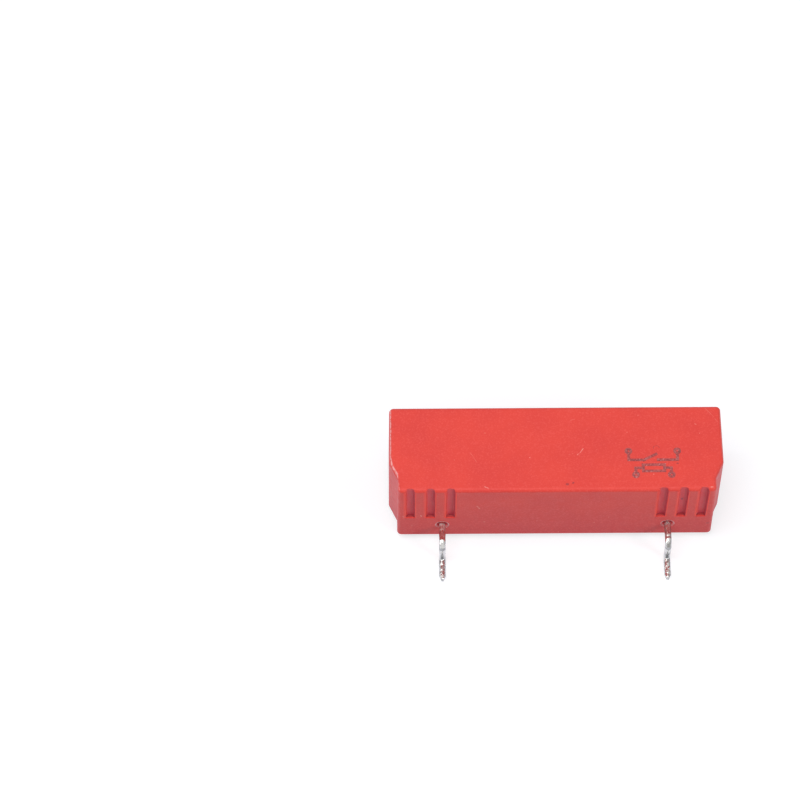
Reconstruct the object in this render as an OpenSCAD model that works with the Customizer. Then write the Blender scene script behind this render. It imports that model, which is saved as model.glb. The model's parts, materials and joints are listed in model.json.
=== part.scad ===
// Reed relay: a potted coil and a sealed reed switch in a moulded housing on four bent wire leads.
// The leads' feet rest on the board at z = 0, below the middle of the housing. +X runs along the
// housing, the coil side faces -Y and the switch side faces +Y. Sizes are in millimetres.

/* [Board grid] */
// Distance between the two coil leads
coil_pitch = 20.32; // [17.78:0.01:22.86]
// Distance between the two switch leads
switch_pitch = 27.94; // [25.4:0.01:33.02]
// Gap between the board and the housing's rim
stand_off = 0.8; // [0.5:0.05:1.5]

/* [Lead wires] */
// Diameter of the lead wire
wire_d = 0.6; // [0.45:0.05:0.7]
// Height of the wire above the rim where it leaves the housing
lead_rise = 1.75; // [1.4:0.05:2.2]
// How far the wire runs out from the wall before it drops
lead_out = 2.1; // [1.4:0.05:3]
// Reach of the foot's tip from the wall
lead_reach = 4.4; // [3.8:0.05:6]
// Bend radius on the wire's centre line
bend_r = 0.55; // [0.4:0.05:0.7]
// Depth of the flat that the bending tool leaves on the knee
knee_depth = 0.07; // [0.02:0.01:0.1]
// Depth of the flat pressed into the foot's underside
coin_depth = 0.08; // [0.03:0.01:0.12]
// Length of the pinched tip
tip_l = 0.45; // [0.2:0.05:0.8]
// Width that is left at the end of the tip
tip_w = 0.18; // [0.1:0.02:0.4]

/* [Housing] */
// Thickness of the long walls
wall_t = 0.7; // [0.5:0.05:1]
// Thickness of the end walls
end_wall_t = 0.65; // [0.5:0.05:1]
// Thickness of the closed top
roof_t = 0.9; // [0.6:0.05:1.4]
// Gap between a switch lead and the end wall
end_clear = 0.065; // [0.05:0.005:0.3]
// How far each end is set back beside the coil leads
end_step = 0.75; // [0.4:0.05:1.1]
// Width of the set-back stretch of each end
step_w = 1.4; // [0.8:0.1:2]
// Width of the slope back to full length
slope_w = 1.6; // [0.8:0.1:2]
// How much wider than the slope the cavity's own step is
step_skin = 0.1; // [0.1:0.05:0.5]
// Draft of the walls in degrees
draft = 0.75; // [0.25:0.25:1.5]
// Radius of the upright outer corners
corner_r = 0.4; // [0.4:0.05:0.6]
// Radius round the edge of the top
edge_r = 0.35; // [0.1:0.05:0.35]
// Radius of the cavity's upright corners
cavity_r = 0.2; // [0.15:0.05:0.3]
// Radius round the inside of the top
roof_r = 0.1; // [0.05:0.01:0.14]
// Extra thickness of the coil side's wall outside the bobbin
coil_pad_t = 0.4; // [0.2:0.05:0.6]
// Extra thickness of the switch side's wall outside the bobbin
switch_pad_t = 0.25; // [0.1:0.05:0.5]
// How far the thick stretches stop short of the rim
pad_drop = 0.1; // [0.05:0.05:0.4]
// How far the potting stops short of the rim
potting_drop = 0.2; // [0.02:0.01:0.3]

/* [Lead holes] */
// Gap round the wire in its hole
hole_clear = 0.05; // [0.03:0.01:0.1]
// Diameter of the countersink on the outer face
sink_d = 1.2; // [0.95:0.05:1.5]
// Depth of the countersink
sink_depth = 0.3; // [0.15:0.05:0.4]

/* [Grip grooves] */
// Number of grooves near each end
groove_n = 3; // [1:1:4]
// Distance from one groove to the next
groove_pitch = 1.8; // [1.2:0.05:2.2]
// From the end of the set-back stretch to the outermost groove
groove_margin = 1.2; // [0.9:0.05:2]
// Width of a groove between its lips
groove_w = 0.74; // [0.5:0.02:1]
// Radius of the lips on both sides and at the lower end
groove_lip = 0.12; // [0.04:0.01:0.15]
// Depth of a groove
groove_depth = 0.3; // [0.2:0.05:0.45]
// Length of a groove from the top
groove_l = 5; // [3:0.1:5.2]
// Length of the slope at a groove's lower end
groove_run = 0.06; // [0.02:0.02:0.6]

/* [Bobbin and coil] */
// Distance between the flanges' centres
flange_pitch = 14.2; // [12:0.1:16]
// Thickness of a flange and of its lugs
flange_t = 0.6; // [0.4:0.05:0.8]
// Wall of the bobbin's tube
tube_wall = 0.5; // [0.3:0.05:0.7]
// Thickness of the copper winding
winding_t = 0.9; // [0.5:0.05:1.2]
// Thickness of the tape round the winding
tape_t = 0.1; // [0.05:0.01:0.15]
// How far a flange stands out past the tape at the sides
flange_side = 0.45; // [0.2:0.05:0.8]
// How far a flange stands out past the tape above and below
flange_end = 0.2; // [0.1:0.05:0.5]
// Radius of the flange's corners
flange_r = 0.6; // [0.3:0.1:0.7]
// Gap between the flanges and the long walls
side_clear = 0.25; // [0.15:0.05:0.5]
// Gap between the flanges and the roof
roof_clear = 0.35; // [0.2:0.05:0.6]
// Gap between the flanges and the rim
rim_clear = 0.35; // [0.2:0.05:0.6]
// Height above the rim up to which lugs and notches reach
lug_h = 1.45; // [1.3:0.05:1.5]
// How far a lug stops short of the rim
lug_drop = 0.05; // [0:0.01:0.2]
// How far a lug reaches in from the wall
lug_in = 0.35; // [0.3:0.05:0.6]
// Free play of a lug along its notch
lug_play = 0.4; // [0.1:0.05:0.5]
// Wall that is left outside a notch
notch_skin = 0.25; // [0.2:0.05:0.4]
// Diameter of the winding's tail
tail_d = 0.16; // [0.1:0.01:0.2]
// How far below the winding's surface the tail comes out
tail_depth = 0.25; // [0.15:0.05:0.4]
// Number of turns of the tail round its lead
tail_turns = 3; // [2:1:4]

/* [Reed switch] */
// Outer diameter of the glass
glass_d = 2.6; // [2.2:0.05:3]
// Length of the glass
glass_l = 16; // [14:0.1:18]
// Wall of the glass
glass_t = 0.3; // [0.2:0.05:0.35]
// Length of the seal at each end
seal_l = 1.6; // [1:0.1:2.5]
// Gap between the glass and the bobbin's tube
glass_clear = 0.2; // [0.1:0.05:0.4]
// Diameter of the reed's round stem
stem_d = 0.6; // [0.4:0.05:0.7]
// Gap between stem and switch lead, which the weld fills
weld_gap = 0.05; // [0.03:0.01:0.1]
// Width of a blade
blade_w = 1.3; // [0.9:0.05:1.4]
// Thickness of a blade
blade_t = 0.2; // [0.15:0.01:0.25]
// Length over which the two blades overlap
blade_lap = 0.8; // [0.5:0.05:1.2]
// Gap between the two contacts when the coil is off
contact_gap = 0.16; // [0.1:0.01:0.2]
// Thickness of a contact tip
contact_t = 0.05; // [0.03:0.01:0.08]
// Width of a contact tip
contact_w = 0.9; // [0.6:0.05:1.1]
// Length of a contact tip
contact_l = 0.6; // [0.4:0.05:0.7]
// Gap between stem and blade at the bending spot
root_gap = 0.02; // [0.01:0.005:0.03]

/* [Hidden] */
$fn = 48;

red = [0.84, 0.22, 0.20];
black = [0.05, 0.05, 0.06];
tinned = [0.78, 0.78, 0.76];
copper = [0.72, 0.38, 0.20];
amber = [0.85, 0.62, 0.20];
clear_green = [0.75, 0.90, 0.80];
nickel_iron = [0.62, 0.60, 0.56];
contact_grey = [0.50, 0.50, 0.52];
left = -1;
right = 1;
coil_side = -1;
switch_side = 1;
// Small overlap that joins or cuts cleanly
eps = 0.01;
// How far a cutter stands out past what it cuts
clear = 1;
// Height that clears the whole relay, for cutting blocks
tall = 30;

// Coil sizes, from the glass outwards
tube_id = glass_d + 2 * glass_clear;
tube_od = tube_id + 2 * tube_wall;
winding_od = tube_od + 2 * winding_t;
coil_od = winding_od + 2 * tape_t;
winding_l = flange_pitch - flange_t;
flange_w = coil_od + 2 * flange_side;
flange_h = coil_od + 2 * flange_end;

// Housing sizes, from what it holds
body_l = switch_pitch + wire_d + 2 * end_clear + 2 * end_wall_t;
body_w = flange_w + 2 * side_clear + 2 * wall_t;
body_h = rim_clear + flange_h + roof_clear + roof_t;
rim_z = stand_off;
top_z = rim_z + body_h;
half_l = body_l / 2;
half_w = body_w / 2;
narrow_half = half_l - end_step;
inner_w = half_w - wall_t;
coil_z = rim_z + rim_clear + flange_h / 2;
lead_z = rim_z + lead_rise;
foot_z = wire_d / 2 - coin_depth;
hole_d = wire_d + 2 * hole_clear;
pad_x = flange_pitch / 2 + flange_t / 2 + lug_play;
floor_z = rim_z + potting_drop;
// How far a cut through a long wall reaches in, past the thick stretches
cut_in = 2 * coil_pad_t;

// Reed switch sizes
// Flat ring of glass round the stem, at the outer end and inside the seal
end_flat = 0.05;
seal_flat = 0.1;
// Distance from the seal to the reed's flattened shoulder, and the shoulder's length
shoulder_gap = 0.1;
shoulder_l = 0.45;
// How far the weld stands out round the wire
weld_bead = 0.12;
glass_round = glass_d / 2 - stem_d / 2 - end_flat;
void_half = glass_l / 2 - seal_l;
void_r = glass_d / 2 - glass_t;
void_round = void_r - stem_d / 2 - seal_flat;
shoulder_x = void_half - shoulder_gap;
root_x = shoulder_x - shoulder_l;
blade_z = contact_gap / 2 + contact_t + blade_t / 2;
blade_l = root_x - root_gap + blade_lap / 2;
leg_x = switch_pitch / 2 - wire_d / 2 - weld_gap - stem_d / 2;

// Tail and solder sizes
tail_r = winding_od / 2 - tail_depth;
tail_y = sqrt(pow(tail_r, 2) - pow(coil_z - lead_z, 2));
tail_step = 0.85 * tail_d;
collar_l = wire_d / 2;
wrap_l = tail_d + (tail_turns - 1) * tail_step;
coil_lead_in = tail_y - wrap_l / 2 - collar_l;
solder_r = wire_d / 2 + tail_d;
weld_r = wire_d / 2 + weld_bead;

// Distance that a drafted wall has moved in at height z
function drawn_in(z) = (z - rim_z) * tan(draft);

// Mirrors the children to one end or one side of the relay
module at_end(end) {
    mirror([end < 0 ? 1 : 0, 0, 0]) children();
}

module at_side(side) {
    mirror([0, side < 0 ? 1 : 0, 0]) children();
}

// Quarter bend of a round bar, from the +X axis to the +Y axis
module quarter_bend(r, d) {
    rotate_extrude(angle = 90) translate([r, 0]) circle(d = d);
}

// Round bar along +X, +Y or straight up
module bar_x(d, l) {
    rotate([0, 90, 0]) cylinder(d = d, h = l);
}

module bar_y(d, l) {
    rotate([-90, 0, 0]) cylinder(d = d, h = l);
}

// Upright corner post whose top edge is rounded
module corner_post(r, edge, h) {
    rotate_extrude($fn = 32) {
        square([r - edge, h]);
        square([r, h - edge]);
        translate([r - edge, h - edge]) intersection() {
            circle(r = edge);
            square(edge);
        }
    }
}

// Block with rounded corners: foot holds its corners at height 0, head those at height h
module drafted_block(foot, head, r, edge, h) {
    hull() {
        for (p = foot) translate(p) cylinder(r = r, h = eps, $fn = 32);
        for (p = head) translate(p) translate([0, 0, h - 2 * edge]) corner_post(r, edge, 2 * edge);
    }
}

// Four corners of a block between x = -x1 and x1 and from y0 to y1, for posts of radius r
function corners(x1, y0, y1, r) = [
    for (sx = [-1, 1]) each [[sx * (x1 - r), y0 + r], [sx * (x1 - r), y1 - r]]
];

module housing_outside() {
    d = drawn_in(top_z);
    // share of the slope that is carried on into the narrow part, so that they meet in one crease
    carry = 0.5;
    // shift of the corner posts that puts the crease itself at step_w
    crease_y = -half_w + step_w + corner_r * tan(atan2(end_step, slope_w) / 2);
    wide_foot = [
        for (sx = [-1, 1]) each [
            [sx * (half_l - corner_r), half_w - corner_r],
            [sx * (half_l - corner_r), crease_y + slope_w],
            [sx * (narrow_half - corner_r - carry * end_step), crease_y - carry * slope_w]
        ]
    ];
    wide_head = [for (p = wide_foot) [p.x - sign(p.x) * d, p.y > 0 ? p.y - d : p.y]];
    narrow_foot = corners(narrow_half, -half_w, -half_w + step_w + slope_w, corner_r);
    narrow_head = [for (p = narrow_foot) [p.x - sign(p.x) * d, p.y < -half_w + step_w ? p.y + d : p.y]];
    translate([0, 0, rim_z]) {
        drafted_block(wide_foot, wide_head, corner_r, edge_r, body_h);
        drafted_block(narrow_foot, narrow_head, corner_r, edge_r, body_h);
    }
}

// The moulded hollow, from just below the rim up to the roof
module cavity() {
    h = body_h - roof_t + eps;
    d = drawn_in(rim_z + h);
    step_y = -half_w + step_w + slope_w + step_skin;
    wide_foot = corners(half_l - end_wall_t, step_y, inner_w, cavity_r);
    wide_head = [for (p = wide_foot) [p.x - sign(p.x) * d, p.y > 0 ? p.y - d : p.y]];
    narrow_foot = corners(narrow_half - end_wall_t, -inner_w, step_y + step_w, cavity_r);
    narrow_head = [for (p = narrow_foot) [p.x - sign(p.x) * d, p.y < step_y ? p.y + d : p.y]];
    difference() {
        translate([0, 0, rim_z - eps]) {
            drafted_block(wide_foot, wide_head, cavity_r, roof_r, h);
            drafted_block(narrow_foot, narrow_head, cavity_r, roof_r, h);
        }
        for (end = [left, right]) at_end(end) {
            wall_pad(coil_side, coil_pad_t);
            wall_pad(switch_side, switch_pad_t);
        }
    }
}

// Thick stretch of a long wall between the bobbin and one end
module wall_pad(side, t) {
    at_side(side) translate([pad_x, inner_w - t, rim_z + pad_drop]) cube([half_l, wall_t + t, tall]);
}

// Notch in the rim, open towards the cavity and to one side of the lug
module notch(end, side) {
    x = end * flange_pitch / 2 - flange_t / 2;
    translate([x, 0, rim_z - eps]) at_side(side)
        translate([0, inner_w - cut_in, 0])
            cube([flange_t + lug_play, cut_in + wall_t - notch_skin, lug_h + eps]);
}

function lead_x(end, side) = end * (side == coil_side ? coil_pitch : switch_pitch) / 2;

// Everything that the resin can reach inside the housing
module inner_space() {
    cavity();
    for (end = [left, right]) for (side = [coil_side, switch_side]) {
        notch(end, side);
        translate([lead_x(end, side), 0, lead_z]) at_side(side)
            translate([0, inner_w - cut_in, 0]) bar_y(hole_d, cut_in + wall_t - sink_depth);
    }
}

// Countersink of a lead hole, up to and past the drafted face
module lead_sink(end, side) {
    face_y = half_w - drawn_in(lead_z);
    translate([lead_x(end, side), 0, lead_z]) at_side(side) {
        translate([0, half_w - sink_depth - eps, 0]) bar_y(hole_d, sink_depth);
        translate([0, face_y - sink_depth, 0]) rotate([-90, 0, 0])
            cylinder(d1 = hole_d, d2 = sink_d, h = sink_depth);
        translate([0, face_y - eps, 0]) bar_y(sink_d, clear);
    }
}

// Points of a rounded lip, from the face inwards: distance out from the channel, then depth
function lip_points(r) = [for (a = [75, 50, 25, 0]) [r * (1 - cos(a)), r * (1 - sin(a))]];

// Groove cutter at x, square to the drafted face: a round-bottomed channel with rounded lips
module groove(x) {
    low = top_z - groove_l;
    lip = lip_points(groove_lip);
    bowl = groove_depth - groove_lip;
    bowl_steps = 10;
    upper = groove_l + clear;
    side_view = [
        [-clear, groove_lip - lip[0].x],
        for (p = lip) [p.y, groove_lip - p.x],
        [groove_depth + eps, groove_lip + groove_run],
        [groove_depth + eps, upper],
        [-clear, upper]
    ];
    plan = [
        [-groove_w / 2 - lip[0].x, -clear],
        for (p = lip) [-groove_w / 2 - p.x, p.y],
        for (i = [1 : bowl_steps - 1])
            [-groove_w / 2 * cos(180 * i / bowl_steps), groove_lip + bowl * sin(180 * i / bowl_steps)],
        for (i = [len(lip) - 1 : -1 : 0]) [groove_w / 2 + lip[i].x, lip[i].y],
        [groove_w / 2 + lip[0].x, -clear]
    ];
    translate([x, -half_w + drawn_in(low), low]) rotate([-draft, 0, 0]) intersection() {
        translate([-groove_w, 0, 0]) rotate([90, 0, 90]) linear_extrude(2 * groove_w) polygon(side_view);
        linear_extrude(2 * groove_l) polygon(plan);
    }
}

module housing() {
    color(red) difference() {
        housing_outside();
        inner_space();
        for (end = [left, right]) for (side = [coil_side, switch_side]) lead_sink(end, side);
        for (end = [left, right]) for (i = [0 : groove_n - 1])
            groove(end * (narrow_half - groove_margin - i * groove_pitch));
    }
}

// Flange plate with rounded corners, its slot for the tail and its two lugs
module flange(end) {
    difference() {
        translate([end * flange_pitch / 2 - flange_t / 2, 0, coil_z]) rotate([90, 0, 90])
            linear_extrude(flange_t) rounded_rect(flange_w, flange_h, flange_r);
        translate([end * flange_pitch / 2, -tail_y, lead_z]) translate([-flange_t, -flange_w, -tail_d])
            cube([2 * flange_t, flange_w + tail_d, 2 * tail_d]);
    }
    for (side = [coil_side, switch_side])
        translate([end * flange_pitch / 2 - flange_t / 2, 0, rim_z + lug_drop]) at_side(side)
            translate([0, inner_w - lug_in, 0])
                cube([flange_t, lug_in + wall_t - notch_skin, lug_h - lug_drop]);
}

module rounded_rect(w, h, r) {
    square([w - 2 * r, h], center = true);
    square([w, h - 2 * r], center = true);
    for (x = [-1, 1]) for (y = [-1, 1]) translate([x * (w / 2 - r), y * (h / 2 - r)]) circle(r = r);
}

module bobbin() {
    color(red) difference() {
        union() {
            for (end = [left, right]) flange(end);
            translate([-flange_pitch / 2, 0, coil_z]) bar_x(tube_od, flange_pitch);
        }
        translate([-flange_pitch, 0, coil_z]) bar_x(tube_id, 2 * flange_pitch);
    }
}

// Round sleeve between the flanges
module sleeve(od, id) {
    translate([-winding_l / 2, 0, coil_z]) difference() {
        bar_x(od, winding_l);
        translate([-clear, 0, 0]) bar_x(id, winding_l + 2 * clear);
    }
}

module coil_winding() {
    color(copper) sleeve(winding_od, tube_od);
}

module winding_tape() {
    color(amber) sleeve(coil_od, winding_od);
}

// Outline of a round-ended capsule in the half plane x >= 0, its axis up
module capsule_outline(half, r, round) {
    square([r, half - round]);
    square([r - round, half]);
    translate([r - round, half - round]) intersection() {
        circle(r = round);
        square(round);
    }
}

module capsule(half, r, round) {
    rotate([0, 90, 0]) rotate_extrude() {
        capsule_outline(half, r, round);
        mirror([0, 1]) capsule_outline(half, r, round);
    }
}

module glass_envelope() {
    translate([0, 0, coil_z]) capsule(glass_l / 2, glass_d / 2, glass_round);
}

module glass_capsule() {
    color(clear_green) difference() {
        glass_envelope();
        translate([0, 0, coil_z]) capsule(void_half, void_r, void_round);
        translate([-glass_l, 0, coil_z]) bar_x(stem_d, 2 * glass_l);
    }
}

// Round part of a reed: through the seal, round a bend and down to the switch lead
module stem_wire(end) {
    foot = lead_z - wire_d / 2;
    translate([0, 0, coil_z]) at_end(end) {
        translate([shoulder_x, 0, 0]) bar_x(stem_d, leg_x - bend_r - shoulder_x);
        translate([leg_x - bend_r, 0, -bend_r]) rotate([90, 0, 0]) quarter_bend(bend_r, stem_d);
        translate([leg_x, 0, foot - coil_z]) cylinder(d = stem_d, h = coil_z - foot - bend_r);
    }
}

// Fixed part of a reed: the round wire and the shoulder where it is pressed flat
module reed_stem(end) {
    color(nickel_iron) {
        stem_wire(end);
        translate([0, 0, coil_z]) at_end(end) hull() {
            translate([root_x, -blade_w / 2, end * blade_z - blade_t / 2]) cube([eps, blade_w, blade_t]);
            translate([shoulder_x, 0, 0]) bar_x(stem_d, eps, $fn = 32);
        }
    }
}

// Moving part of a reed: a flat strip that bends at its outer end
module reed_blade(end) {
    color(nickel_iron) translate([0, 0, coil_z + end * blade_z]) at_end(end)
        translate([-blade_lap / 2, -blade_w / 2, -blade_t / 2]) cube([blade_l, blade_w, blade_t]);
}

// Tip on the inner face of a blade, in the middle of the overlap
module contact(end) {
    z = coil_z + end * (contact_gap + contact_t) / 2;
    color(contact_grey) translate([0, 0, z]) cube([contact_l, contact_w, contact_t], center = true);
}

// Bent round wire in the plane x, with its inner end at distance inner from the middle
module wire_lead(end, side, inner) {
    drop_y = half_w + lead_out;
    tip_y = half_w + lead_reach;
    color(tinned) translate([lead_x(end, side), 0, 0]) at_side(side) difference() {
        union() {
            translate([0, inner, lead_z]) bar_y(wire_d, drop_y - bend_r - inner);
            translate([0, drop_y - bend_r, lead_z - bend_r]) rotate([90, 0, 90]) quarter_bend(bend_r, wire_d);
            translate([0, drop_y, foot_z + bend_r]) cylinder(d = wire_d, h = lead_z - foot_z - 2 * bend_r);
            translate([0, drop_y + bend_r, foot_z + bend_r]) rotate([90, 0, 90]) rotate(180)
                quarter_bend(bend_r, wire_d);
            translate([0, drop_y + bend_r, foot_z]) bar_y(wire_d, tip_y - drop_y - bend_r);
        }
        // flat on the outside of the knee
        translate([0, drop_y - bend_r, lead_z - bend_r]) rotate([-45, 0, 0])
            translate([-wire_d, -wire_d, bend_r + wire_d / 2 - knee_depth]) cube(2 * wire_d);
        // flat pressed into the underside of the foot
        translate([-wire_d, 0, -wire_d]) cube([2 * wire_d, 2 * tip_y, wire_d]);
        // two cheeks of the pinched tip
        for (s = [-1, 1]) translate([0, tip_y, -wire_d]) linear_extrude(3 * wire_d) polygon([
            [s * tip_w / 2, eps], [s * wire_d, eps], [s * wire_d, -tip_l], [s * wire_d / 2, -tip_l]
        ]);
    }
}

module switch_lead(end) {
    wire_lead(end, switch_side, -wire_d);
}

module coil_lead(end) {
    wire_lead(end, coil_side, coil_lead_in);
}

// Blob that joins the reed's leg to the switch lead
module weld_space(end) {
    at_end(end) translate([switch_pitch / 2 - (wire_d + weld_gap) / 2, 0, lead_z]) sphere(r = weld_r);
}

module switch_weld(end) {
    color(tinned) difference() {
        weld_space(end);
        switch_lead(end);
        stem_wire(end);
    }
}

// Run of the tail from the winding to the middle turn round its lead
module tail_run() {
    ring_x = coil_pitch / 2 - (wire_d + tail_d) / 2;
    translate([winding_l / 2, -tail_y, lead_z]) bar_x(tail_d, ring_x - winding_l / 2);
}

// One closed turn of the tail round its lead
module tail_turn() {
    rotate([90, 0, 0]) rotate_extrude() translate([(wire_d + tail_d) / 2, 0]) circle(d = tail_d, $fn = 24);
}

module coil_tail(end) {
    middle_turn = (tail_turns - 1) / 2;
    color(copper) at_end(end) {
        tail_run();
        for (i = [0 : tail_turns - 1])
            translate([coil_pitch / 2, -tail_y + (i - middle_turn) * tail_step, lead_z]) tail_turn();
    }
}

// Room that a tail takes up in the resin
module tail_space(end) {
    at_end(end) {
        tail_run();
        translate([coil_pitch / 2, -tail_y - wrap_l / 2, lead_z]) bar_y(wire_d + 2 * tail_d, wrap_l);
    }
}

// Dome of solder over a coil lead's inner end, up to the wrapped turns
module solder_space(end) {
    at_end(end) translate([coil_pitch / 2, -coil_lead_in, lead_z]) intersection() {
        sphere(r = solder_r);
        translate([-solder_r, -collar_l, -solder_r]) cube([2 * solder_r, tall, 2 * solder_r]);
    }
}

module coil_solder(end) {
    color(tinned) difference() {
        solder_space(end);
        coil_lead(end);
    }
}

module potting() {
    color(black) difference() {
        inner_space();
        translate([-body_l, -body_w, floor_z - tall]) cube([2 * body_l, 2 * body_w, tall]);
        bobbin();
        sleeve(coil_od, tube_od);
        glass_envelope();
        for (end = [left, right]) {
            reed_stem(end);
            switch_lead(end);
            coil_lead(end);
            weld_space(end);
            tail_space(end);
            solder_space(end);
        }
    }
}

housing();
potting();
bobbin();
coil_winding();
winding_tape();
glass_capsule();
reed_stem(left);  // reed_stem_left
reed_stem(right);  // reed_stem_right
reed_blade(left);  // reed_blade_left
reed_blade(right);  // reed_blade_right
contact(left);  // contact_left
contact(right);  // contact_right
switch_lead(left);  // switch_lead_left
switch_lead(right);  // switch_lead_right
switch_weld(left);  // switch_weld_left
switch_weld(right);  // switch_weld_right
coil_lead(left);  // coil_lead_left
coil_lead(right);  // coil_lead_right
coil_tail(left);  // coil_tail_left
coil_tail(right);  // coil_tail_right
coil_solder(left);  // coil_solder_left
coil_solder(right);  // coil_solder_right
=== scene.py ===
"""Looks of the reed relay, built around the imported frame.

Places and sizes on the relay are written in mm, and MM turns them into metres.
"""

import json
import math

import bmesh
import bpy
from mathutils import Matrix, Quaternion, Vector


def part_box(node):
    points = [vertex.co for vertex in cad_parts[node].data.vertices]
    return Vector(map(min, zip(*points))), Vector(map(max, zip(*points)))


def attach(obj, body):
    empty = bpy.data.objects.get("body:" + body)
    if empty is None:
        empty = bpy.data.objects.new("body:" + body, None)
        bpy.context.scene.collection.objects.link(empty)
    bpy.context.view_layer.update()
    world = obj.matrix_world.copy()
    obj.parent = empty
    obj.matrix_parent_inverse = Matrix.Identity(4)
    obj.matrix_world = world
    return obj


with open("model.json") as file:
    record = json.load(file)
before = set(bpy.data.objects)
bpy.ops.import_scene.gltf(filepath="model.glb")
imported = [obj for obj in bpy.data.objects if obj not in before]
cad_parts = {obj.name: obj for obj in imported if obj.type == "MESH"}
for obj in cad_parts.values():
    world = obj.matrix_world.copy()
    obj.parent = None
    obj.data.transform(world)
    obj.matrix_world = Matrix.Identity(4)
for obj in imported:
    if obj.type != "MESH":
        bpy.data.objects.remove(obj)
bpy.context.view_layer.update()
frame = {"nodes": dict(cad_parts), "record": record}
NODES = frame["nodes"]
MM = 0.001


# Scene helpers
def add_object(name, data):
    obj = bpy.data.objects.new(name, data)
    bpy.context.scene.collection.objects.link(obj)
    return obj


def build_mesh(name, mesh_maker):
    """New mesh, filled by mesh_maker."""
    bm = bmesh.new()
    mesh_maker(bm)
    data = bpy.data.meshes.new(name)
    bm.to_mesh(data)
    bm.free()
    return data


def look_at(at, aim):
    """Turn of a camera or lamp that stands at one place and looks at another."""
    return (Vector(aim) - Vector(at)).to_track_quat("-Z", "Y")


# Camera, fitted to the photograph: its place, the point of the floor that it looks at, and its roll
CAMERA_AT = (-0.013387, -0.128024, 0.240481)
CAMERA_AIM = (-0.013912, 0.010113, 0.0)
CAMERA_ROLL = math.radians(-0.555)
FOCAL_PX = 2968.9
FRAME_PX = 800
SENSOR_MM = 36.0


def make_camera():
    data = bpy.data.cameras.new("camera")
    data.sensor_width = SENSOR_MM
    data.lens = FOCAL_PX / FRAME_PX * SENSOR_MM
    data.clip_start = 0.01
    data.clip_end = 10
    camera = add_object("camera", data)
    turn = look_at(CAMERA_AT, CAMERA_AIM) @ Quaternion((0, 0, 1), CAMERA_ROLL)
    camera.matrix_world = Matrix.Translation(CAMERA_AT) @ turn.to_matrix().to_4x4()
    bpy.context.scene.camera = camera


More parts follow.
